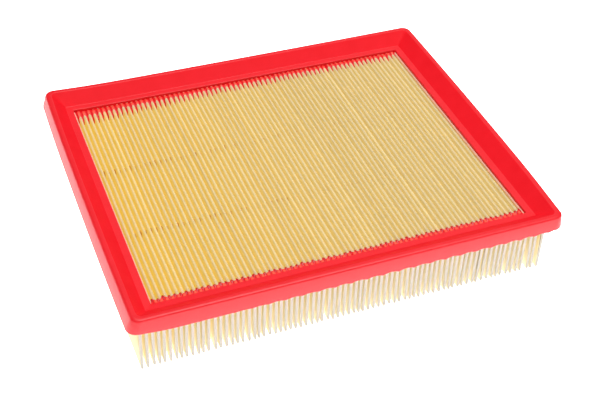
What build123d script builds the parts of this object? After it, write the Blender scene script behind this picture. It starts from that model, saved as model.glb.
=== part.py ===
from build123d import *
import math
import os

# Panel air filter: a pleated paper pack cast into a soft polyurethane seal frame.
# Millimetres. +Z is up, towards the frame, and X is the way the pleats stack.
# The origin is under the middle of the filter, level with the bottom folds it stands on.

# Seal frame
frame_width = 292.0  # along X
frame_depth = 244.0  # along Y, the way each pleat runs
filter_height = 53.0  # bottom folds to the crest of the rim
flange_height = 10.7  # crest of the rim to the flange's underside
corner_radius = 5.5  # outer corners, seen from above
crest_radius = 2.0  # outer edge of the rim
crest_inner_radius = 1.2
skirt_edge_radius = 0.6  # lower outer edge
crest_width = 3.8  # outer wall to the head of the inner slope
slope_foot = 13.75  # outer wall to the foot of the inner slope
land_depth = 7.0  # crest down to the flat land round the window
window_inset = 18.5  # outer wall to the window's edge
ledge_depth = 9.4  # crest down to the foam that has risen between the pleats
ledge_width = 3.0  # how far that foam reaches into the window
side_seal_width = 6.3  # flat underside that seals, at the two sides
end_seal_width = 12.4  # and at front and rear
potting_recess = 0.4  # foam between the pleats stops this far above that flat

# Pleated paper
pleat_pitch = 3.6
pleat_count = 77  # bottom folds
paper_thickness = 0.5
fold_radius = 0.75  # outside of a fold
tip_depth = 9.0  # crest down to the top folds
end_inset = 13.5  # outer wall to the cut ends of the pleats
end_leaf_depth = 9.6  # crest down to the cut edge of the first and last leaf

# Hot-melt spacer beads, two rows in the upper valleys and two in the lower ones
bead_row_offset = 33.5  # rows in front of and behind the middle
bead_width = 1.8  # along the pleat
bead_clearance = 1.2  # the bead stops this far below the mouth of its valley
bead_length = 20.0  # down into the valley

# End glue that closes each upper valley at the pleats' cut ends
end_glue_depth = 2.5  # along the pleat

top_fold_z = filter_height - tip_depth - fold_radius
bottom_fold_z = fold_radius
flange_bottom_z = filter_height - flange_height

# A leg of the sheet crosses from one side of a top fold to the other side of a bottom one.
fold_rise = top_fold_z - bottom_fold_z
fold_span = math.hypot(pleat_pitch / 2, fold_rise)
middle_radius = fold_radius - paper_thickness / 2
leg_lean = math.atan2(pleat_pitch / 2, fold_rise) - math.asin(2 * middle_radius / fold_span)
lean_cos = math.cos(leg_lean)
lean_sin = math.sin(leg_lean)


def fold_x(position):
    """X of a bottom fold, or of the top fold half a pitch on from it."""
    return (position - (pleat_count - 1) / 2) * pleat_pitch


def half_gap(radius, rise):
    """Half the distance between two legs at this height above the fold that joins them."""
    return (radius + rise * lean_sin) / lean_cos


def sheet_surface(top_radius, bottom_radius):
    """One face of the sheet, from the first leaf's cut edge to the last one's."""
    cut_z = filter_height - end_leaf_depth
    cut_reach = half_gap(bottom_radius, cut_z - bottom_fold_z)
    here = (fold_x(0) - cut_reach, cut_z)
    edges = []
    for fold in range(pleat_count):
        x = fold_x(fold)
        z = bottom_fold_z - bottom_radius * lean_sin
        left = (x - bottom_radius * lean_cos, z)
        right = (x + bottom_radius * lean_cos, z)
        edges.append(Line(here, left))
        edges.append(ThreePointArc(left, (x, bottom_fold_z - bottom_radius), right))
        here = right
        if fold < pleat_count - 1:
            x = fold_x(fold + 0.5)
            z = top_fold_z + top_radius * lean_sin
            left = (x - top_radius * lean_cos, z)
            right = (x + top_radius * lean_cos, z)
            edges.append(Line(here, left))
            edges.append(ThreePointArc(left, (x, top_fold_z + top_radius), right))
            here = right
    last = (fold_x(pleat_count - 1) + cut_reach, cut_z)
    edges.append(Line(here, last))
    return edges


def pleated_paper():
    """The whole sheet as one folded solid, cut square at the pleats' ends."""
    inside_radius = fold_radius - paper_thickness
    upper = sheet_surface(fold_radius, inside_radius)
    lower = sheet_surface(inside_radius, fold_radius)
    left_cut = Line(lower[0] @ 0, upper[0] @ 0)
    right_cut = Line(upper[-1] @ 1, lower[-1] @ 1)
    outline = Wire(upper + [right_cut] + lower + [left_cut])
    sheet_face = Plane.XZ * Face(outline)
    return extrude(sheet_face, (frame_depth - 2 * end_inset) / 2, both=True)


def inset_slab(inset, low, high, radius=0.0):
    """A slab with the frame's outline moved in by inset."""
    width = frame_width - 2 * inset
    depth = frame_depth - 2 * inset
    outline = RectangleRounded(width, depth, radius) if radius else Rectangle(width, depth)
    return Pos(0, 0, low) * extrude(outline, high - low)


def seal_frame(paper):
    """The cast ring: rim, inner slope, land, and the ledge that grips the pleats."""
    land_z = filter_height - land_depth
    ring = inset_slab(0, flange_bottom_z, filter_height, corner_radius)
    ring = fillet(ring.edges().group_by(Axis.Z)[-1], crest_radius)
    ring = fillet(ring.edges().group_by(Axis.Z)[0], skirt_edge_radius)

    head = RectangleRounded(
        frame_width - 2 * crest_width, frame_depth - 2 * crest_width, corner_radius - crest_radius
    )
    foot = RectangleRounded(
        frame_width - 2 * slope_foot, frame_depth - 2 * slope_foot, skirt_edge_radius
    )
    slope = loft([Pos(0, 0, land_z) * foot, Pos(0, 0, filter_height) * head])
    ring = ring - slope
    crest = ring.faces().sort_by(Axis.Z)[-1]
    ring = fillet(crest.inner_wires()[0].edges(), crest_inner_radius)

    ledge_z = filter_height - ledge_depth
    ring = ring - inset_slab(window_inset, ledge_z, filter_height)
    ring = ring - inset_slab(window_inset + ledge_width, flange_bottom_z, filter_height)

    potting = Rectangle(frame_width - 2 * side_seal_width, frame_depth - 2 * end_seal_width)
    ring = ring - Pos(0, 0, flange_bottom_z) * extrude(potting, potting_recess)
    return ring - paper


def bead_row(positions, fold_z, direction, y):
    """One row of beads, each filling a valley from leg to leg.

    direction is 1 where the valley opens upwards from its fold and -1 where it opens downwards.
    """
    inside_radius = fold_radius - paper_thickness
    mouth = fold_rise - bead_clearance
    wide = half_gap(inside_radius, mouth)
    narrow = half_gap(inside_radius, mouth - bead_length)
    mouth_z = fold_z + direction * mouth
    root_z = fold_z + direction * (mouth - bead_length)
    beads = []
    for position in positions:
        x = fold_x(position)
        corners = [(x - wide, mouth_z), (x + wide, mouth_z), (x + narrow, root_z), (x - narrow, root_z)]
        section = Plane.XZ.offset(-y) * make_face(Polyline(*corners, close=True))
        beads.append(extrude(section, bead_width / 2, both=True))
    return Compound([bead.solid() for bead in beads])


def end_glue_row(y):
    """A plug in every upper valley, from the fold up to the foam, which keeps the air from
    passing round the paper's cut end."""
    inside_radius = fold_radius - paper_thickness
    foam_z = flange_bottom_z + potting_recess
    wide = half_gap(inside_radius, foam_z - bottom_fold_z)
    reach = inside_radius * lean_cos
    side_z = bottom_fold_z - inside_radius * lean_sin
    plugs = []
    for position in range(pleat_count):
        x = fold_x(position)
        foam_left = (x - wide, foam_z)
        foam_right = (x + wide, foam_z)
        left = (x - reach, side_z)
        right = (x + reach, side_z)
        outline = Wire([
            Line(foam_left, left),
            ThreePointArc(left, (x, bottom_fold_z - inside_radius), right),
            Line(right, foam_right),
            Line(foam_right, foam_left),
        ])
        section = Plane.XZ.offset(-y) * Face(outline)
        plugs.append(extrude(section, end_glue_depth / 2, both=True))
    return Compound([plug.solid() for plug in plugs])


upper_valleys = range(pleat_count)
lower_valleys = [fold + 0.5 for fold in range(pleat_count - 1)]
media = pleated_paper()
end_glue_y = (frame_depth - 2 * end_inset - end_glue_depth) / 2
parts = {
    "seal_frame": seal_frame(media),
    "pleated_media": media,
    "upper_bead_row_front": bead_row(upper_valleys, bottom_fold_z, 1, -bead_row_offset),
    "upper_bead_row_rear": bead_row(upper_valleys, bottom_fold_z, 1, bead_row_offset),
    "lower_bead_row_front": bead_row(lower_valleys, top_fold_z, -1, -bead_row_offset),
    "lower_bead_row_rear": bead_row(lower_valleys, top_fold_z, -1, bead_row_offset),
    "end_glue_front": end_glue_row(-end_glue_y),
    "end_glue_rear": end_glue_row(end_glue_y),
}

os.makedirs("parts", exist_ok=True)
for name, shape in parts.items():
    export_step(shape, f"parts/{name}.step")
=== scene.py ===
import math
import random

import bpy
import numpy as np
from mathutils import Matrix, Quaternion, Vector


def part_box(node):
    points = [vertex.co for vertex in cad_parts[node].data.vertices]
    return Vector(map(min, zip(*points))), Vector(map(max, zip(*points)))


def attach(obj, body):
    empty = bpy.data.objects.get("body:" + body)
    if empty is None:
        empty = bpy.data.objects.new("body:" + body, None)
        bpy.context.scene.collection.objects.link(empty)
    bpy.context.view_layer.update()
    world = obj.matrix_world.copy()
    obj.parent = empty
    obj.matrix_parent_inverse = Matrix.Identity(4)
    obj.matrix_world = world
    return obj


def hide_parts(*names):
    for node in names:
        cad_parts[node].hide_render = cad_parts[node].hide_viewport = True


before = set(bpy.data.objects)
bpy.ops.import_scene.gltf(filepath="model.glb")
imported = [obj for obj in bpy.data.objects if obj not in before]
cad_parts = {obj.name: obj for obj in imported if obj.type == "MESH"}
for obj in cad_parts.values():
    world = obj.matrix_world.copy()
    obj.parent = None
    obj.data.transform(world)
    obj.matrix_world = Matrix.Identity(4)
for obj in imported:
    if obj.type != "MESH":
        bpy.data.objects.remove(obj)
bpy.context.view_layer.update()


# ---------------------------------------------------------------------------------------------
# Filter paper. One long sheet of cellulose paper, stiffened with phenolic resin, is scored on a
# rotary die, embossed with rows of small spacer dimples and gathered into knife pleats. Its
# first and last leaves are the flat ends of the pack.
# ---------------------------------------------------------------------------------------------
MM = 0.001
pack_low, pack_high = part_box("pleated_media")
pleat_count = 77
pleat_pitch = 3.6 * MM
paper_thickness = 0.5 * MM
top_radius = 0.7 * MM  # to the middle of the paper
top_radius_at_ends = 1.0 * MM
flare_start = 90 * MM  # from the middle of the pleats to where the top folds begin to flare
bottom_radius = 0.65 * MM
end_overhang = 2.5 * MM  # the cut ends stand this far into the foam of the end walls
front_cut = pack_low.y - end_overhang
rear_cut = pack_high.y + end_overhang
top_fold_height = pack_high.z - top_radius - paper_thickness / 2
bottom_fold_height = pack_low.z + bottom_radius + paper_thickness / 2
end_leaf_top = pack_high.z - 0.6 * MM  # cut edge of the first and last leaves
leaf_length = top_fold_height - bottom_fold_height

# How the pack has settled in its frame: the outermost folds stand out, most of all half way
# along the pleats.
pack_bulge = 0.5 * MM
first_fold_out = 0.5 * MM
first_fold_bulge = 0.8 * MM
last_fold_out = 2.3 * MM
last_fold_bulge = 0.3 * MM
folds_before_last_out = 1.5 * MM
first_leaf_splay = 0.8 * MM
last_leaf_out = 1.9 * MM
closest_folds = 0.6 * pleat_pitch
fold_ripple = 0.09 * MM
ripple_turns = 2.1 * math.pi
highest_top = 0.3 * MM
lowest_top = -0.5 * MM
highest_bottom = 1.7 * MM
deepest_fray = 0.5 * MM

dimple_spacing = 19.6 * MM
dimple_half_width = 2.4 * MM
dimple_rise = 0.22 * MM
dimple_foot = 0.4  # of the leaf's height; the dimples fade out below it
DIMPLE_ROWS = 10
dimple_rows = [(row - (DIMPLE_ROWS - 1) / 2) * dimple_spacing for row in range(DIMPLE_ROWS)]

TOP_ARC_STEPS = 5
BOTTOM_ARC_STEPS = 4
LEAF_STEPS = 3

fold_random = random.Random(31)


def wander(count, size, reach):
    """A row of random offsets, each smoothed over its neighbours within reach, so that pleats
    lean in company."""
    raw = [fold_random.gauss(0.0, 1.0) for _ in range(count + 2 * reach)]
    smooth = []
    for start in range(count):
        window = raw[start:start + 2 * reach + 1]
        smooth.append(size * sum(window) / math.sqrt(len(window)))
    return np.array(smooth)


def across(y):
    """Runs from -1 at the front end of the pleats to 1 at the rear."""
    return y / rear_cut


def crown_radius(y):
    """The top folds flare at the cut ends, where end glue pinches the leaves together."""
    flare = max(0.0, abs(y) - flare_start) / (rear_cut - flare_start)
    return top_radius + (top_radius_at_ends - top_radius) * flare


top_sway = wander(pleat_count - 1, 0.10 * MM, 1)
top_twist = wander(pleat_count - 1, 0.12 * MM, 2)
top_lift = wander(pleat_count - 1, 0.13 * MM, 0)
top_tilt = wander(pleat_count - 1, 0.08 * MM, 1)
bottom_sway = wander(pleat_count, 0.28 * MM, 0)
bottom_drift = wander(pleat_count, 0.28 * MM, 4)
bottom_twist = wander(pleat_count, 0.22 * MM, 1)
bottom_lift = np.abs(wander(pleat_count, 0.22 * MM, 0))
bottom_tilt = wander(pleat_count, 0.20 * MM, 0)
bottom_lift[[0, 1, -1]] = 0.0
bottom_tilt[[0, 1, -1]] = 0.0
leaf_bow = wander(2 * pleat_count, 0.13 * MM, 2)
wave_phase = wander(2 * pleat_count, 1.2, 3)


def fold_centres(y):
    """Where each top and bottom fold is at this place along the pleats."""
    along = across(y)
    bow = 1 - along * along
    index = np.arange(pleat_count)
    middle = (pleat_count - 1) / 2
    bulge = pack_bulge * bow * (index - middle) / middle
    ripple = fold_ripple * np.sin(ripple_turns * along + wave_phase)
    bottom_x = (index - middle) * pleat_pitch + bulge
    bottom_x = bottom_x + bottom_sway + bottom_drift + bottom_twist * along
    bottom_x = bottom_x + 1.5 * ripple[:pleat_count]
    bottom_x[0] = -middle * pleat_pitch - first_fold_out - first_fold_bulge * bow
    bottom_x[-3:-1] += folds_before_last_out
    bottom_x[-1] = middle * pleat_pitch + last_fold_out + last_fold_bulge * bow
    for fold in range(1, pleat_count):
        bottom_x[fold] = max(bottom_x[fold], bottom_x[fold - 1] + closest_folds)
    top_x = (index[:-1] - middle + 0.5) * pleat_pitch + 0.5 * bulge[:-1]
    top_x = top_x + top_sway + top_twist * along + ripple[:pleat_count - 1]
    top_z = top_fold_height + np.clip(top_lift + top_tilt * along, lowest_top, highest_top)
    bottom_z = bottom_fold_height + np.clip(bottom_lift + bottom_tilt * along, 0.0, highest_bottom)
    return top_x, top_z, bottom_x, bottom_z


def dimple_at(y):
    """1 in the middle of an embossed row, falling to 0 beside it."""
    nearest = min(abs(y - row) for row in dimple_rows)
    return max(0.0, 1.0 - nearest / dimple_half_width)


def arc(x, z, radius, start, stop, steps):
    """Points round one fold, from angle start to angle stop."""
    turns = np.linspace(start, stop, steps + 1)
    return [(x + radius * math.cos(turn), z + radius * math.sin(turn)) for turn in turns]


def lean_of(reach, rise, radii):
    """How far from upright a leaf is that crosses from one fold to the next, given the sum of
    the two folds' radii."""
    return math.atan2(reach, rise) - math.asin(radii / math.hypot(reach, rise))


def leaf(start, stop, bow, dimple, outward):
    """The points inside one leaf, with its slight bow and its spacer dimple near the top fold."""
    points = []
    for step in range(1, LEAF_STEPS):
        share = step / LEAF_STEPS
        x = start[0] + (stop[0] - start[0]) * share
        z = start[1] + (stop[1] - start[1]) * share
        height = (z - bottom_fold_height) / leaf_length
        swell = outward * dimple * max(0.0, height - dimple_foot)
        points.append((x + bow * 4 * share * (1 - share) + swell, z))
    return points


def sheet_line(y):
    """The folded sheet's section at this place along the pleats, as points in X and Z."""
    top_x, top_z, bottom_x, bottom_z = fold_centres(y)
    dimple = dimple_rise * dimple_at(y)
    crown = crown_radius(y)
    radii = crown + bottom_radius
    first_lean = lean_of(pleat_pitch / 2, end_leaf_top - bottom_z[0], radii)
    start_angle = -math.pi + first_lean
    line = []
    here = (bottom_x[0] - bottom_radius - first_leaf_splay, end_leaf_top)
    for fold in range(pleat_count):
        x, z = bottom_x[fold], bottom_z[fold]
        if fold < pleat_count - 1:
            up_lean = lean_of(top_x[fold] - x, top_z[fold] - z, radii)
        else:
            up_lean = first_lean
        turn = arc(x, z, bottom_radius, start_angle, -up_lean, BOTTOM_ARC_STEPS)
        line += [here] + leaf(here, turn[0], leaf_bow[2 * fold], dimple, 1.0) + turn[:-1]
        here = turn[-1]
        if fold < pleat_count - 1:
            x, z = top_x[fold], top_z[fold]
            down_lean = lean_of(bottom_x[fold + 1] - x, z - bottom_z[fold + 1], radii)
            turn = arc(x, z, crown, math.pi - up_lean, down_lean, TOP_ARC_STEPS)
            line += [here] + leaf(here, turn[0], leaf_bow[2 * fold + 1], dimple, -1.0) + turn[:-1]
            here = turn[-1]
            start_angle = -math.pi + down_lean
    last = ((pleat_count - 1) / 2 * pleat_pitch + last_leaf_out, end_leaf_top)
    line += [here] + leaf(here, last, leaf_bow[-1], dimple, -1.0) + [last]
    return line


def rows_along_pleat():
    """Cuts across the sheet: its two ends, three at each embossed row and one between
    neighbouring rows."""
    places = [front_cut, rear_cut]
    for row in dimple_rows:
        places += [row - dimple_half_width, row, row + dimple_half_width]
    for row in dimple_rows[:-1]:
        places.append(row + dimple_spacing / 2)
    return sorted(places)


sheet_rows = rows_along_pleat()
columns = len(sheet_line(0.0))
bpy.ops.object.select_all(action="DESELECT")
bpy.ops.mesh.primitive_grid_add(x_subdivisions=columns - 1, y_subdivisions=len(sheet_rows) - 1, size=1)
paper = bpy.context.active_object
paper.name = "filter_paper"
paper.data.name = "filter_paper"
folded = np.zeros((len(sheet_rows), columns, 3))
end_fray = wander(columns, 0.22 * MM, 4)
for place, y in enumerate(sheet_rows):
    section = np.array(sheet_line(y))
    folded[place, :, 0] = section[:, 0]
    folded[place, :, 1] = y
    folded[place, :, 2] = section[:, 1]
folded[0, :, 1] += np.clip(np.abs(end_fray), 0, deepest_fray)
folded[-1, :, 1] -= np.clip(np.abs(end_fray[::-1]), 0, deepest_fray)
paper.data.vertices.foreach_set("co", folded.ravel())
paper.data.update()
thicken = paper.modifiers.new("thickness", "SOLIDIFY")
thicken.thickness = paper_thickness
thicken.offset = 0.0
bpy.ops.object.modifier_apply(modifier="thickness")
bpy.ops.object.mode_set(mode="EDIT")
bpy.ops.mesh.select_all(action="SELECT")
bpy.ops.mesh.normals_make_consistent(inside=False)
bpy.ops.object.mode_set(mode="OBJECT")
bpy.ops.object.shade_smooth_by_angle(angle=math.radians(60))


def linear(hex_colour):
    """An sRGB hex colour as linear red, green, blue and alpha."""
    channels = [int(hex_colour[i:i + 2], 16) / 255 for i in (1, 3, 5)]
    toned = [c / 12.92 if c <= 0.04045 else ((c + 0.055) / 1.055) ** 2.4 for c in channels]
    return (*toned, 1.0)


def add_node(material, kind, settings=None, values=None, links=None):
    """Adds one node, sets its properties and input values, and links outputs into its inputs."""
    node = material.node_tree.nodes.new(kind)
    for key, value in (settings or {}).items():
        setattr(node, key, value)
    for key, value in (values or {}).items():
        node.inputs[key].default_value = value
    for key, output in (links or {}).items():
        material.node_tree.links.new(output, node.inputs[key])
    return node


def new_material(name):
    """An empty node material with its output node, ready for a shader."""
    material = bpy.data.materials.new(name)
    material.use_nodes = True
    material.node_tree.nodes.clear()
    output = material.node_tree.nodes.new("ShaderNodeOutputMaterial")
    return material, output


def filter_paper_material():
    """Resin-impregnated cellulose paper: matt, fibrous and cream, painted paler towards the folds it
    stands on, where light from the table below falls, and thin enough that light from behind comes
    through it; a painted glow in the upper valleys turns that light a deep yellow."""
    material, output = new_material("resin_impregnated_cellulose_paper")
    place = add_node(material, "ShaderNodeTexCoord")
    # Fibres lie every way in the sheet, and clumps 1 to 2 mm wide show as faint clouds.
    clouds = add_node(material, "ShaderNodeTexNoise", values={"Scale": 700.0, "Detail": 4.0},
                      links={"Vector": place.outputs["Object"]})
    shade = add_node(material, "ShaderNodeMix", {"data_type": "RGBA"},
                     {"A": linear("#DFD4B0"), "B": linear("#EBE3C6")},
                     {"Factor": clouds.outputs["Fac"]})
    position = add_node(material, "ShaderNodeSeparateXYZ",
                        links={"Vector": place.outputs["Object"]})
    # Painted light: lower down the paper is drawn paler, where light from the table below falls on it.
    painted_table_light = add_node(material, "ShaderNodeMapRange",
                          values={"From Min": 34 * MM, "From Max": 4 * MM,
                                  "To Min": 0.0, "To Max": 0.8},
                          links={"Value": position.outputs["Z"]})
    toned = add_node(material, "ShaderNodeMix", {"data_type": "RGBA"}, {"B": linear("#EFEBDF")},
                     {"Factor": painted_table_light.outputs["Result"], "A": shade.outputs["Result"]})
    # Single fibres are finer than this; the grain, 0.4 mm wide, is as coarse as it needs to show.
    fibre = add_node(material, "ShaderNodeTexNoise", values={"Scale": 2600.0, "Detail": 3.0},
                     links={"Vector": place.outputs["Object"]})
    grain = add_node(material, "ShaderNodeBump", values={"Strength": 0.25, "Distance": 0.0001},
                     links={"Height": fibre.outputs["Fac"]})
    # Painted light: the paper itself glows, standing in for light that has come up through leaf after
    #     leaf: near white low down, yellow in the upper valleys, little on the folds' crowns, and a
    #         little
    #     stronger and deeper to the left.
    rising = add_node(material, "ShaderNodeMapRange", {"interpolation_type": "SMOOTHSTEP"},
                      {"From Min": 14 * MM, "From Max": 40 * MM},
                      {"Value": position.outputs["Z"]})
    fading = add_node(material, "ShaderNodeMapRange", {"interpolation_type": "SMOOTHSTEP"},
                      {"From Min": 44.2 * MM, "From Max": 43.0 * MM, "To Min": 0.25},
                      {"Value": position.outputs["Z"]})
    rightward = add_node(material, "ShaderNodeMapRange",
                         values={"From Min": -130 * MM, "From Max": 60 * MM},
                         links={"Value": position.outputs["X"]})
    upper = add_node(material, "ShaderNodeMix", {"data_type": "FLOAT"}, {"A": 0.28, "B": 0.22},
                     {"Factor": rightward.outputs["Result"]})
    yellow = add_node(material, "ShaderNodeMix", {"data_type": "RGBA"},
                      {"A": linear("#FFDE28"), "B": linear("#FFEC9C")},
                      {"Factor": rightward.outputs["Result"]})
    strength = add_node(material, "ShaderNodeMix", {"data_type": "FLOAT"}, {"A": 0.3},
                        {"Factor": rising.outputs["Result"], "B": upper.outputs["Result"]})
    glow = add_node(material, "ShaderNodeMath", {"operation": "MULTIPLY"},
                    links={0: strength.outputs["Result"], 1: fading.outputs["Result"]})
    glow_colour = add_node(material, "ShaderNodeMix", {"data_type": "RGBA"},
                           {"A": linear("#FFFAE6")},
                           {"Factor": rising.outputs["Result"], "B": yellow.outputs["Result"]})
    front = add_node(material, "ShaderNodeBsdfPrincipled",
                     values={"Roughness": 0.85, "IOR": 1.45, "Specular IOR Level": 0.2},
                     links={"Base Color": toned.outputs["Result"], "Normal": grain.outputs["Normal"],
                            "Emission Color": glow_colour.outputs["Result"],
                            "Emission Strength": glow.outputs["Value"]})
    through = add_node(material, "ShaderNodeBsdfTranslucent", values={"Color": linear("#F4E288")},
                       links={"Normal": grain.outputs["Normal"]})
    both = add_node(material, "ShaderNodeMixShader", values={0: 0.4},
                    links={1: front.outputs["BSDF"], 2: through.outputs["BSDF"]})
    material.node_tree.links.new(both.outputs["Shader"], output.inputs["Surface"])
    return material


paper.data.materials.clear()
paper.data.materials.append(filter_paper_material())
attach(paper, "root")
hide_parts("pleated_media")


# ---------------------------------------------------------------------------------------------
# Hot-melt spacer beads. Two threads of amber glue are laid across each face of the sheet before
# it is folded; they meet inside each fold and hold the leaves apart. From outside each one is a
# row of small drops down in the valleys.
# ---------------------------------------------------------------------------------------------
bead_width = 1.8 * MM
bead_length = 15 * MM  # down into the valley
bead_depth = 1.2 * MM  # from the top folds down to a drop
lower_bead_lift = 2 * MM  # the lower rows' drops stand this much further into their valleys
bead_bite = 0.12 * MM  # how far glue soaks into the paper; twice that where a drop is fattest
bead_narrowing = 0.65  # a drop's lower third is drawn out this thin
bead_random = random.Random(7)


def valley(fold, z, y, opens_up):
    """The middle in X and half the width of the gap between two leaves at height z."""
    top_x, top_z, bottom_x, bottom_z = fold_centres(y)
    if opens_up:
        root_x, root_z = bottom_x[fold], bottom_z[fold]
        mouth_x = (top_x[max(fold - 1, 0)] + top_x[min(fold, pleat_count - 2)]) / 2
        if fold in (0, pleat_count - 1):
            mouth_x = root_x
        rise = (z - root_z) / (top_fold_height - root_z)
        root_radius = bottom_radius
    else:
        root_x, root_z = top_x[fold], top_z[fold]
        mouth_x = (bottom_x[fold] + bottom_x[fold + 1]) / 2
        rise = (root_z - z) / (root_z - bottom_fold_height)
        root_radius = crown_radius(y)
    spread = pleat_pitch / 2 - crown_radius(y) - bottom_radius
    half_gap = root_radius - paper_thickness / 2 + rise * spread
    return root_x + (mouth_x - root_x) * rise, half_gap


def bead_row(name, y, folds, opens_up):
    """One glue row: a drop is modelled once, then copied into every valley."""
    bpy.ops.object.select_all(action="DESELECT")
    bpy.ops.mesh.primitive_uv_sphere_add(segments=8, ring_count=7, radius=1.0)
    drop = bpy.context.active_object
    for vertex in drop.data.vertices:
        taper = 1.0 if vertex.co.z > -0.3 else bead_narrowing
        vertex.co.x *= taper
        vertex.co.y *= taper
    drops = []
    for fold in folds:
        length = bead_length + bead_random.uniform(-3, 3) * MM
        depth = bead_depth + bead_random.uniform(-0.9, 1.4) * MM
        if opens_up:
            upright = 1.0
            mouth_z = top_fold_height - depth
        else:
            upright = -1.0
            mouth_z = bottom_fold_height + lower_bead_lift + depth
        centre_z = mouth_z - upright * length / 2
        middle, half_gap = valley(fold, centre_z, y, opens_up)
        copy = drop.copy()
        copy.data = drop.data.copy()
        bpy.context.collection.objects.link(copy)
        place_y = y + bead_random.gauss(0, 0.25) * MM
        fatness = bead_random.uniform(0.85, 1.15)
        for vertex in copy.data.vertices:
            x, along, z = vertex.co
            vertex.co = (middle + x * (half_gap + 2 * bead_bite),
                         place_y + along * bead_width / 2 * fatness,
                         centre_z + upright * z * length / 2)
        drops.append(copy)
    bpy.data.objects.remove(drop)
    bpy.ops.object.select_all(action="DESELECT")
    for copy in drops:
        copy.select_set(True)
    bpy.context.view_layer.objects.active = drops[0]
    bpy.ops.object.join()
    row = bpy.context.active_object
    row.name = name
    bpy.ops.object.mode_set(mode="EDIT")
    bpy.ops.mesh.select_all(action="SELECT")
    bpy.ops.mesh.normals_make_consistent(inside=False)
    bpy.ops.object.mode_set(mode="OBJECT")
    bpy.ops.object.shade_smooth_by_angle(angle=math.radians(60))
    return row


def hot_melt_material():
    """Polyolefin hot-melt, cooled in the open: waxy, glossy amber."""
    material, output = new_material("amber_hot_melt_glue")
    place = add_node(material, "ShaderNodeTexCoord")
    # Streaks a couple of millimetres long where the thread was drawn out.
    streaks = add_node(material, "ShaderNodeTexNoise", values={"Scale": 450.0, "Detail": 2.0},
                       links={"Vector": place.outputs["Object"]})
    tone = add_node(material, "ShaderNodeMix", {"data_type": "RGBA"},
                    {"A": linear("#C98F3E"), "B": linear("#E8BC6C")},
                    {"Factor": streaks.outputs["Fac"]})
    wax = add_node(material, "ShaderNodeBsdfPrincipled",
                   values={"Roughness": 0.3, "IOR": 1.48},
                   links={"Base Color": tone.outputs["Result"]})
    material.node_tree.links.new(wax.outputs["BSDF"], output.inputs["Surface"])
    return material


glue = hot_melt_material()
for bead_node in ("upper_bead_row_front", "upper_bead_row_rear",
                  "lower_bead_row_front", "lower_bead_row_rear"):
    node_low, node_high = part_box(bead_node)
    from_above = bead_node.startswith("upper")
    count = pleat_count if from_above else pleat_count - 1
    beads = bead_row(bead_node.replace("_row", "s"), (node_low.y + node_high.y) / 2,
                     range(count), from_above)
    beads.data.materials.clear()
    beads.data.materials.append(glue)
    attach(beads, "root")
    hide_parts(bead_node)


# ---------------------------------------------------------------------------------------------
# End glue. Along both cut ends of the sheet a seam of pale glue closes each fold that opens
# upwards, so that air can't slip round the paper; from the front each fold is a solid finger.
# ---------------------------------------------------------------------------------------------
end_cap = 0.42 * MM  # how far the glue is smeared over each leaf's cut edge
outer_root_drop = 0.1 * MM  # how far the glue hangs below its fold at the cut end
inner_root_drop = 0.2 * MM  # from the middle of the fold to the glue's root inside
thinnest_plug = 0.15 * MM  # half its width
PLUG_SHARES = [0.0, 0.01, 0.025, 0.3, 0.65, 1.0]  # of the plug's height
PLUG_WIDTHS = [0.45, 0.85, 1.0, 1.0, 1.0, 1.0]  # of its width there, so its root is rounded
PLUG_LEVELS = len(PLUG_SHARES)
glue_random = random.Random(5)


def end_glue(name, node):
    """One end's plugs: each fills its fold from leaf to leaf, from the fold up to the foam, and
    is smeared over the cut edges of its two leaves."""
    low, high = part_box(node)
    outward = 1 if high.y > 0 else -1
    outer_y = rear_cut * outward
    inner_y = outer_y - outward * (high.y - low.y)
    vertices = []
    faces = []
    for fold in range(pleat_count):
        start = len(vertices)
        proud = glue_random.uniform(0.1, 0.35) * MM
        fold_z = fold_centres(outer_y)[3][fold]
        outer = (outer_y + outward * proud, fold_z - bottom_radius - outer_root_drop, end_cap)
        inner = (inner_y + glue_random.gauss(0, 0.3) * MM, fold_z - inner_root_drop, bead_bite)
        for y, root, spill in (outer, inner):
            for share, width in zip(PLUG_SHARES, PLUG_WIDTHS):
                z = root + (high.z - root) * share
                middle, half_gap = valley(fold, z, y, True)
                reach = (max(half_gap, thinnest_plug) + spill) * width
                vertices += [(middle - reach, y, z), (middle + reach, y, z)]
        back = start + 2 * PLUG_LEVELS
        for level in range(PLUG_LEVELS - 1):
            here = start + 2 * level
            there = back + 2 * level
            faces += [(here, here + 1, here + 3, here + 2), (there, there + 2, there + 3, there + 1),
                      (here, here + 2, there + 2, there), (here + 1, there + 1, there + 3, here + 3)]
        top = back - 2
        back_top = back + 2 * PLUG_LEVELS - 2
        faces += [(start, back, back + 1, start + 1), (top, top + 1, back_top + 1, back_top)]
    mesh = bpy.data.meshes.new(name)
    mesh.from_pydata(vertices, [], faces)
    plugs = bpy.data.objects.new(name, mesh)
    bpy.context.collection.objects.link(plugs)
    bpy.ops.object.select_all(action="DESELECT")
    bpy.context.view_layer.objects.active = plugs
    plugs.select_set(True)
    bpy.ops.object.mode_set(mode="EDIT")
    bpy.ops.mesh.select_all(action="SELECT")
    bpy.ops.mesh.normals_make_consistent(inside=False)
    bpy.ops.object.mode_set(mode="OBJECT")
    return plugs


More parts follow.
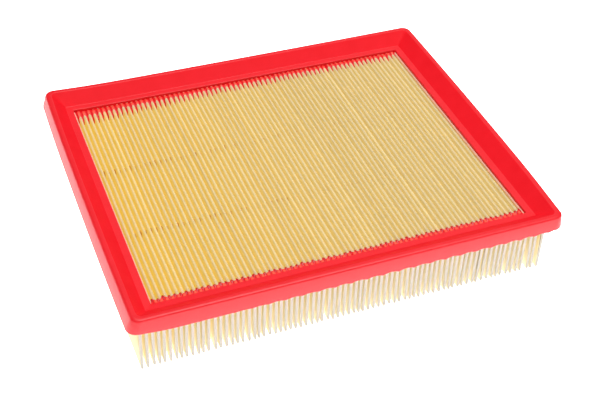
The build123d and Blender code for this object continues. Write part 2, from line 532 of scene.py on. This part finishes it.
def end_glue_material():
    """Filled adhesive wiped level with the cut paper: off-white, matt and slightly lumpy."""
    material, output = new_material("off_white_end_glue")
    place = add_node(material, "ShaderNodeTexCoord")
    # The lumps are about 1 mm across.
    lumps = add_node(material, "ShaderNodeTexNoise", values={"Scale": 900.0, "Detail": 3.0},
                     links={"Vector": place.outputs["Object"]})
    tone = add_node(material, "ShaderNodeMix", {"data_type": "RGBA"},
                    {"A": linear("#C2C0B2"), "B": linear("#D2D0C6")},
                    {"Factor": lumps.outputs["Fac"]})
    relief = add_node(material, "ShaderNodeBump", values={"Strength": 0.3, "Distance": 0.0002},
                      links={"Height": lumps.outputs["Fac"]})
    matt = add_node(material, "ShaderNodeBsdfPrincipled", values={"Roughness": 0.6},
                    links={"Base Color": tone.outputs["Result"], "Normal": relief.outputs["Normal"]})
    material.node_tree.links.new(matt.outputs["BSDF"], output.inputs["Surface"])
    return material


pale_glue = end_glue_material()
for glue_node in ("end_glue_front", "end_glue_rear"):
    plugs = end_glue(glue_node.replace("glue", "seam"), glue_node)
    plugs.data.materials.append(pale_glue)
    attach(plugs, "root")
    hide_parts(glue_node)


# ---------------------------------------------------------------------------------------------
# Seal frame. Red polyurethane is poured into an open mould and the pack is set down into it; the
# foam rises round the pleats and cures with a closed skin. It is one soft casting: a rounded rim,
# a mitred inner slope, a flat land, and a ragged edge where foam has crept between the pleats.
# ---------------------------------------------------------------------------------------------
seal_low, seal_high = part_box("seal_frame")
seal_half_width = seal_high.x
seal_half_depth = seal_high.y
corner_radius = 7.0 * MM  # in plan, at the foot of the outer wall
crest_corner_radius = corner_radius - 2.8 * MM
crest_width = 3.8 * MM
slope_foot = 13.75 * MM
window_inset = 18.5 * MM
land_height = seal_high.z - 7.0 * MM
ledge_height = land_height - 2.6 * MM
potting_height = seal_low.z + 0.4 * MM
potting_depth = 5 * MM  # how far foam has run down between the pleats' ends
end_underside = 9.9 * MM  # flat underside that seals, at front and rear
side_underside = 6.3 * MM  # and at the two sides
skirt_bottom = seal_low.z + 0.7 * MM
draft = 1.2 * MM  # the outer wall widens downwards, to leave the mould
side_reach = 1.1 * MM  # foam over the pleats at the two sides
corner_reach = 1.0 * MM  # and at the window's corners
LEDGE_ROWS = [0.1, 0.2, 0.3, 0.4, 0.5, 0.6, 0.7, 0.8, 0.9, 0.97, 1.0]
LONG_STEPS = 567
SHORT_STEPS = 69
CORNER_STEPS = 12
FRONT_SIDE = 0  # sides are numbered anticlockwise, seen from above
REAR_SIDE = 2

# The casting's section: inset at front and rear, inset at the sides, height, corner radius in
# plan, then the radius and steps that round it off.
tight = 0.3 * MM
section_corners = [
    (-draft, -draft, skirt_bottom, corner_radius, 0.6 * MM, 3),
    (0, 0, seal_high.z, corner_radius - draft, 1.6 * MM, 6),
    (crest_width, crest_width, seal_high.z, crest_corner_radius, 4.0 * MM, 5),
    (slope_foot, slope_foot, land_height, tight, 1.6 * MM, 3),
    (window_inset, window_inset, land_height, tight, 0.4 * MM, 3),
    (window_inset, window_inset, ledge_height, tight, 0, 0),
    (end_underside, side_underside, potting_height, tight, 0, 0),
    (end_underside, side_underside, seal_low.z, tight, 0, 0),
]


def rounded(before, corner, after, radius, steps):
    """Replaces one corner of a section with the points of an arc."""
    if steps == 0:
        return [corner]
    corner = Vector(corner)
    back = (Vector(before) - corner).normalized()
    ahead = (Vector(after) - corner).normalized()
    half_angle = back.angle(ahead) / 2
    bisector = (back + ahead).normalized()
    centre = corner + bisector * radius / math.sin(half_angle)
    first = corner + back * radius / math.tan(half_angle) - centre
    last = corner + ahead * radius / math.tan(half_angle) - centre
    arm = first.angle(last)
    points = []
    for step in range(steps + 1):
        share = step / steps
        spoke = math.sin((1 - share) * arm) * first + math.sin(share * arm) * last
        points.append(tuple(centre + spoke / math.sin(arm)))
    return points


def section_rings():
    """Every ring of the casting: front inset, side inset, height, corner radius, and on the
    ledge of foam over the pleats its row, or "under" for the ring below that ledge."""
    rings = []
    total = len(section_corners)
    for place, (front, side, height, plan, radius, steps) in enumerate(section_corners):
        before = section_corners[place - 1]
        after = section_corners[(place + 1) % total]
        by_front = rounded((before[0], before[2]), (front, height), (after[0], after[2]), radius, steps)
        by_side = rounded((before[1], before[2]), (side, height), (after[1], after[2]), radius, steps)
        for (f, h), (s, _) in zip(by_front, by_side):
            rings.append((f, s, h, plan, None))
        if front == window_inset and height == ledge_height:
            for row in LEDGE_ROWS:
                rings.append((front, side + side_reach * row, height, tight, row))
            rings.append((front, side + side_reach, potting_height, tight, "under"))
    return rings


def stations():
    """Places round a ring: which corner arc or side, and how far along it."""
    places = []
    for side, steps in enumerate((LONG_STEPS, SHORT_STEPS, LONG_STEPS, SHORT_STEPS)):
        places += [("side", side, step / steps) for step in range(steps)]
        places += [("corner", side, step / CORNER_STEPS) for step in range(CORNER_STEPS)]
    return places


def ring_point(kind, side, share, half_x, half_y, radius):
    """A point on a rounded rectangle, anticlockwise from the front's left end: this share of the
    way along a side, or round the corner after it."""
    reach_x = half_x - radius
    reach_y = half_y - radius
    ends = [(-reach_x, -half_y), (reach_x, -half_y), (half_x, -reach_y), (half_x, reach_y),
            (reach_x, half_y), (-reach_x, half_y), (-half_x, reach_y), (-half_x, -reach_y)]
    if kind == "side":
        (x0, y0), (x1, y1) = ends[2 * side], ends[2 * side + 1]
        return x0 + (x1 - x0) * share, y0 + (y1 - y0) * share
    sign_x = (1, 1, -1, -1)[side]
    sign_y = (-1, 1, 1, -1)[side]
    turn = math.radians((-90, 0, 90, 180)[side] + 90 * share)
    return sign_x * reach_x + radius * math.cos(turn), sign_y * reach_y + radius * math.sin(turn)


FRONT = -1
REAR = 1
foam_random = random.Random(19)
usual_lobe = 6.9 * MM
lobe_length = {FRONT: [], REAR: []}  # how far foam has crept along each valley
for end in (FRONT, REAR):
    for _ in range(pleat_count + 1):
        lobe_length[end].append(usual_lobe + foam_random.gauss(0, 0.45) * MM)
vent_spacing = 10.8 * MM
WAVES = 40  # more than there are vents along the skirt
wave_size = [foam_random.uniform(0.6, 1.0) for _ in range(WAVES)]
edge_y = seal_half_depth - window_inset - 3 * MM  # about the middle of the lobes
edge_folds = {end: fold_centres(end * edge_y) for end in (FRONT, REAR)}


def smooth_step(start, stop, value):
    """Eases from 0 where value is start to 1 where it is stop, which may be the smaller."""
    share = min(1.0, max(0.0, (value - start) / (stop - start)))
    return share * share * (3 - 2 * share)


def over_pleats(x, end):
    """At this X beside the window: 0 over a fold and 1 in a valley, the valley's number, and
    the height of the nearest fold's top."""
    top_x, top_z = edge_folds[end][:2]
    right = int(np.searchsorted(top_x, x))
    left = max(0, right - 1)
    right = min(right, pleat_count - 2)
    nearest = left if abs(x - top_x[left]) < abs(x - top_x[right]) else right
    distance = abs(x - top_x[nearest])
    in_valley = smooth_step(0.75 * MM, 1.4 * MM, distance)
    fold_top = top_z[nearest] + top_radius_at_ends + paper_thickness / 2
    return in_valley, int(np.searchsorted(top_x, x)), fold_top


def ledge_point(x, end, row):
    """How far foam has crept from the window's edge at this X, its height, and its share of
    thin film over the paper, or if below 0, of thick foam between two folds, which is drawn darker
    red as painted shade."""
    in_valley, number, fold_top = over_pleats(x, end)
    to_corner = seal_half_width - window_inset - abs(x)
    near_corner = 1.0 - smooth_step(1 * MM, 9 * MM, to_corner)
    lobe = lobe_length[end][number]
    if end == REAR:
        # Foam has crept furthest at the rear left.
        lobe += (3.0 * smooth_step(-30 * MM, -125 * MM, x) - 0.7) * MM
    else:
        lobe += 1.5 * MM * near_corner * smooth_step(0, 100 * MM, x)
    if row == "under":
        return lobe, 0.0, 0.0
    out = lobe * row
    if end == FRONT:
        # A thin film runs over each fold, and each valley's lobe swells and ends in a round nose.
        film_height = fold_top + 0.2 * MM - 2.2 * MM * smooth_step(0.5, 0.9, row)
        crown = 0.9 * MM * math.sin(math.pi * smooth_step(0.35, 1.0, row))
        nose = 3.4 * MM * smooth_step(0.82, 1.0, row) ** 2
        valley_height = fold_top - 0.7 * MM + crown - nose
        film = 0.6 * (1 - in_valley) * smooth_step(0.05, 0.2, row) * smooth_step(0.6, 0.4, row)
        # Painted shade: this marks the thick lobes, which the material draws darker red.
        thick = in_valley * smooth_step(0.3, 0.5, row)
    else:
        # The rear lobes slope away and are thinner.
        film_height = fold_top + 0.12 * MM - 1.5 * MM * smooth_step(0.32, 1.0, row)
        valley_height = fold_top - (0.5 + 2.6 * row ** 1.5) * MM
        film = 0.6 * (1 - in_valley) * smooth_step(0.05, 0.3, row)
        thick = 0.5 * in_valley * smooth_step(0.0, 0.3, row)
    height = film_height + (valley_height - film_height) * in_valley
    height += near_corner * 0.7 * MM * (1 - row)
    return out, height, film - thick


def skirt_wave(x):
    """The front skirt's lower edge lifts a little between the mould's vents, about 11 mm apart,
    and sags more towards the left."""
    step = (x + seal_half_width) / vent_spacing
    along = (x + seal_half_width) / (2 * seal_half_width)
    strength = wave_size[int(step)] * smooth_step(0.05, 0.5, along)
    wave = strength * 1.4 * MM * (math.sin(math.pi * (step - int(step))) - 0.6)
    sag = (1.9 - 1.5 * along) * MM * smooth_step(0, 0.1, along) * smooth_step(1, 0.95, along)
    return wave - sag


left_bow = 0.9 * MM
right_bow = 1.0 * MM
rear_bow = 0.4 * MM
corner_lift = 1.2 * MM
corner_drawn_in = 1.1 * MM


def settle(x, y, z):
    """Soft foam isn't straight: the left and right sides bow out, the rear one bows in, the left
    one leans in towards its crest, the rear left corner stands up and the front right one is
    drawn in."""
    along_x = 1 - (x / seal_half_width) ** 2
    along_y = 1 - (y / seal_half_depth) ** 2
    rim = smooth_step(window_inset, 2 * MM, seal_half_depth - abs(y))
    rim_side = smooth_step(window_inset, 2 * MM, seal_half_width - abs(x))
    if y > 0:
        corner = math.hypot(x + seal_half_width, y - seal_half_depth) / (28 * MM)
        z += corner_lift * math.exp(-corner * corner)
        y += rear_bow * rim * (1 - 2 * along_x)
    if x < 0:
        height = (z - seal_low.z) / (seal_high.z - seal_low.z)
        x += (2.5 - 0.4 * y / seal_half_depth) * MM * height * rim_side
        x -= left_bow * along_y * rim_side
    else:
        corner = math.hypot(x - seal_half_width, y + seal_half_depth) / (35 * MM)
        x += right_bow * along_y * rim_side
        x -= corner_drawn_in * math.exp(-corner * corner) * rim_side
    return x, y, z


rings = section_rings()
places = stations()
points = []
film_share = []
for front, side_inset, height, plan, row in rings:
    for kind, side, share in places:
        half_x = seal_half_width - side_inset
        half_y = seal_half_depth - front
        x, y = ring_point(kind, side, share, half_x, half_y, plan)
        z = height
        film = 0.0
        if row is not None and kind == "side" and side in (FRONT_SIDE, REAR_SIDE):
            end = FRONT if side == FRONT_SIDE else REAR
            reach, top, film = ledge_point(x, end, row)
            y -= end * reach
            z = potting_height - potting_depth if row == "under" else top
        elif row is not None:
            film = 1.0
            if kind == "corner":
                y -= math.copysign(corner_reach * (1.0 if row == "under" else row), y)
            if row != "under":
                # At the two sides foam just covers the outer fold.
                z = pack_high.z + (0.15 - 0.6 * smooth_step(0.6, 1.0, row)) * MM
        on_skirt_edge = front < 1 * MM and height < seal_low.z + 1.6 * MM
        if on_skirt_edge and kind == "side" and side == FRONT_SIDE:
            z += skirt_wave(x)
        points.append(settle(x, y, z))
        film_share.append(film)
faces = []
around = len(places)
for ring in range(len(rings)):
    ahead = (ring + 1) % len(rings)
    for place in range(around):
        beside = (place + 1) % around
        faces.append((ring * around + place, ring * around + beside,
                      ahead * around + beside, ahead * around + place))
seal_mesh = bpy.data.meshes.new("polyurethane_seal_frame")
seal_mesh.from_pydata(points, [], faces)
# The slope was cast against a blasted part of the mould, so it shines less than the rest.
for face in seal_mesh.polygons:
    ring = face.index // around
    inset = (rings[ring][0] + rings[(ring + 1) % len(rings)][0]) / 2
    on_slope = crest_width < inset < slope_foot and rings[ring][2] > land_height
    face.material_index = 1 if on_slope else 0
# 1 where foam is a mere film over the paper, and below 0 where it is thick between two folds, which the
# material darkens as painted shade.
film_layer = seal_mesh.attributes.new("film_and_painted_shade", "FLOAT", "POINT")
film_layer.data.foreach_set("value", film_share)
seal = bpy.data.objects.new("polyurethane_seal_frame", seal_mesh)
bpy.context.collection.objects.link(seal)
bpy.ops.object.select_all(action="DESELECT")
bpy.context.view_layer.objects.active = seal
seal.select_set(True)
bpy.ops.object.mode_set(mode="EDIT")
bpy.ops.mesh.select_all(action="SELECT")
bpy.ops.mesh.normals_make_consistent(inside=False)
bpy.ops.object.mode_set(mode="OBJECT")
bpy.ops.object.shade_smooth_by_angle(angle=math.radians(50))


def polyurethane_material(name, roughness, specular):
    """Moulded polyurethane foam with a closed skin: saturated red, satin, faintly mottled and
    pocked where tiny bubbles met the mould. Over the pleats it is a film the paper shows through, and
    the thick lobes between the folds are painted a darker red for the shade they lie in."""
    material, output = new_material(name)
    place = add_node(material, "ShaderNodeTexCoord")
    # Cloudy density changes some 12 mm across.
    mottle = add_node(material, "ShaderNodeTexNoise", values={"Scale": 80.0, "Detail": 3.0},
                      links={"Vector": place.outputs["Object"]})
    red = add_node(material, "ShaderNodeMix", {"data_type": "RGBA"},
                   {"A": linear("#EA0D1B"), "B": linear("#F41A28")},
                   {"Factor": mottle.outputs["Fac"]})
    film = add_node(material, "ShaderNodeAttribute", {"attribute_name": "film_and_painted_shade"})
    # Painted shade: thick foam between two folds is drawn a darker red, for the shade of the slope and
    # wall above it.
    painted_shade_between_folds = add_node(material, "ShaderNodeMapRange", values={"From Max": -1.0},
                             links={"Value": film.outputs["Fac"]})
    thick = add_node(material, "ShaderNodeMix", {"data_type": "RGBA"}, {"B": linear("#C4060E")},
                     {"Factor": painted_shade_between_folds.outputs["Result"], "A": red.outputs["Result"]})
    over_fold = add_node(material, "ShaderNodeMapRange", values={"From Max": 0.6},
                         links={"Value": film.outputs["Fac"]})
    thin = add_node(material, "ShaderNodeMix", {"data_type": "RGBA"},
                    {"B": linear("#FA5A44")},
                    {"Factor": over_fold.outputs["Result"], "A": thick.outputs["Result"]})
    at_sides = add_node(material, "ShaderNodeMapRange", values={"From Min": 0.6},
                        links={"Value": film.outputs["Fac"]})
    thinnest = add_node(material, "ShaderNodeMix", {"data_type": "RGBA"},
                        {"B": linear("#F3BFA6")},
                        {"Factor": at_sides.outputs["Result"], "A": thin.outputs["Result"]})
    # Skin pores about half a millimetre across, and shallow ripples a few millimetres apart.
    pores = add_node(material, "ShaderNodeTexVoronoi", values={"Scale": 1900.0},
                     links={"Vector": place.outputs["Object"]})
    ripple = add_node(material, "ShaderNodeTexNoise", values={"Scale": 260.0, "Detail": 2.0},
                      links={"Vector": place.outputs["Object"]})
    pored = add_node(material, "ShaderNodeBump", values={"Strength": 0.18, "Distance": 0.00008},
                     links={"Height": pores.outputs["Distance"]})
    skin = add_node(material, "ShaderNodeBump", values={"Strength": 0.25, "Distance": 0.0004},
                    links={"Height": ripple.outputs["Fac"], "Normal": pored.outputs["Normal"]})
    foam = add_node(material, "ShaderNodeBsdfPrincipled",
                    values={"Roughness": roughness, "IOR": 1.5, "Specular IOR Level": specular},
                    links={"Base Color": thinnest.outputs["Result"],
                           "Normal": skin.outputs["Normal"]})
    material.node_tree.links.new(foam.outputs["BSDF"], output.inputs["Surface"])
    return material


seal.data.materials.append(polyurethane_material("red_moulded_polyurethane_foam", 0.4, 0.5))
seal.data.materials.append(polyurethane_material("red_foam_from_blasted_mould", 0.6, 0.12))
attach(seal, "root")
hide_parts("seal_frame")


# ---------------------------------------------------------------------------------------------
# Studio. The filter stands on a white light table, which makes the background pure white and
# sends light up the walls and through the paper; a big softbox hangs overhead.
# ---------------------------------------------------------------------------------------------
bpy.ops.object.select_all(action="DESELECT")
bpy.ops.mesh.primitive_plane_add(size=8, location=(0, 0, 0))
table = bpy.context.active_object
table.name = "light_table"


def light_table_material():
    """Opal acrylic lit from below: even white, brighter than anything standing on it."""
    material, output = new_material("lit_opal_acrylic")
    opal = add_node(material, "ShaderNodeBsdfPrincipled",
                    values={"Base Color": linear("#F4F4F4"), "Roughness": 0.6,
                            "Emission Color": linear("#FFFFFF"), "Emission Strength": 1.5})
    material.node_tree.links.new(opal.outputs["BSDF"], output.inputs["Surface"])
    return material


table.data.materials.append(light_table_material())

world = bpy.data.worlds.new("dim_studio")
world.use_nodes = True
bpy.context.scene.world = world
room = world.node_tree.nodes["Background"]
room.inputs["Color"].default_value = linear("#FFFFFF")
room.inputs["Strength"].default_value = 0.18


def softbox(name, at, size, watts):
    """A square soft light, its place and size in metres, aimed at the middle of the filter."""
    bpy.ops.object.light_add(type="AREA", location=at)
    lamp = bpy.context.active_object
    lamp.name = name
    lamp.data.size = size
    lamp.data.energy = watts
    lamp.rotation_euler = (-Vector(at)).to_track_quat("-Z", "Y").to_euler()


softbox("softbox_overhead", (0.15, -0.1, 1.55), 1.2, 26)
softbox("softbox_rear", (0.95, 1.5, 0.95), 1.1, 1.4)

# The part of the table under the filter shines up between the pleats.
bpy.ops.object.light_add(type="AREA", location=(0, 0, 0.2 * MM), rotation=(math.pi, 0, 0))
under_light = bpy.context.active_object
under_light.name = "table_under_filter"
under_light.data.shape = "RECTANGLE"
under_light.data.size = pack_high.x - pack_low.x - 4 * MM
under_light.data.size_y = pack_high.y - pack_low.y - 4 * MM
under_light.data.energy = 0.4

# A 70 mm lens at the front left, looking down at 40 degrees and rolled by 2.
aim = Vector((0, -21.6 * MM, 26.5 * MM))
distance = 804.5 * MM
azimuth = math.radians(-22.58)
elevation = math.radians(40.07)
roll = math.radians(2.26)
back = Vector((math.sin(azimuth) * math.cos(elevation),
               -math.cos(azimuth) * math.cos(elevation),
               math.sin(elevation)))
bpy.ops.object.camera_add(location=aim + back * distance)
camera = bpy.context.active_object
camera.rotation_mode = "QUATERNION"
camera.rotation_quaternion = (-back).to_track_quat("-Z", "Y") @ Quaternion((0, 0, 1), roll)
camera.data.lens = 70.2
camera.data.sensor_width = 36
bpy.context.scene.camera = camera
bpy.context.scene.view_settings.view_transform = "Standard"
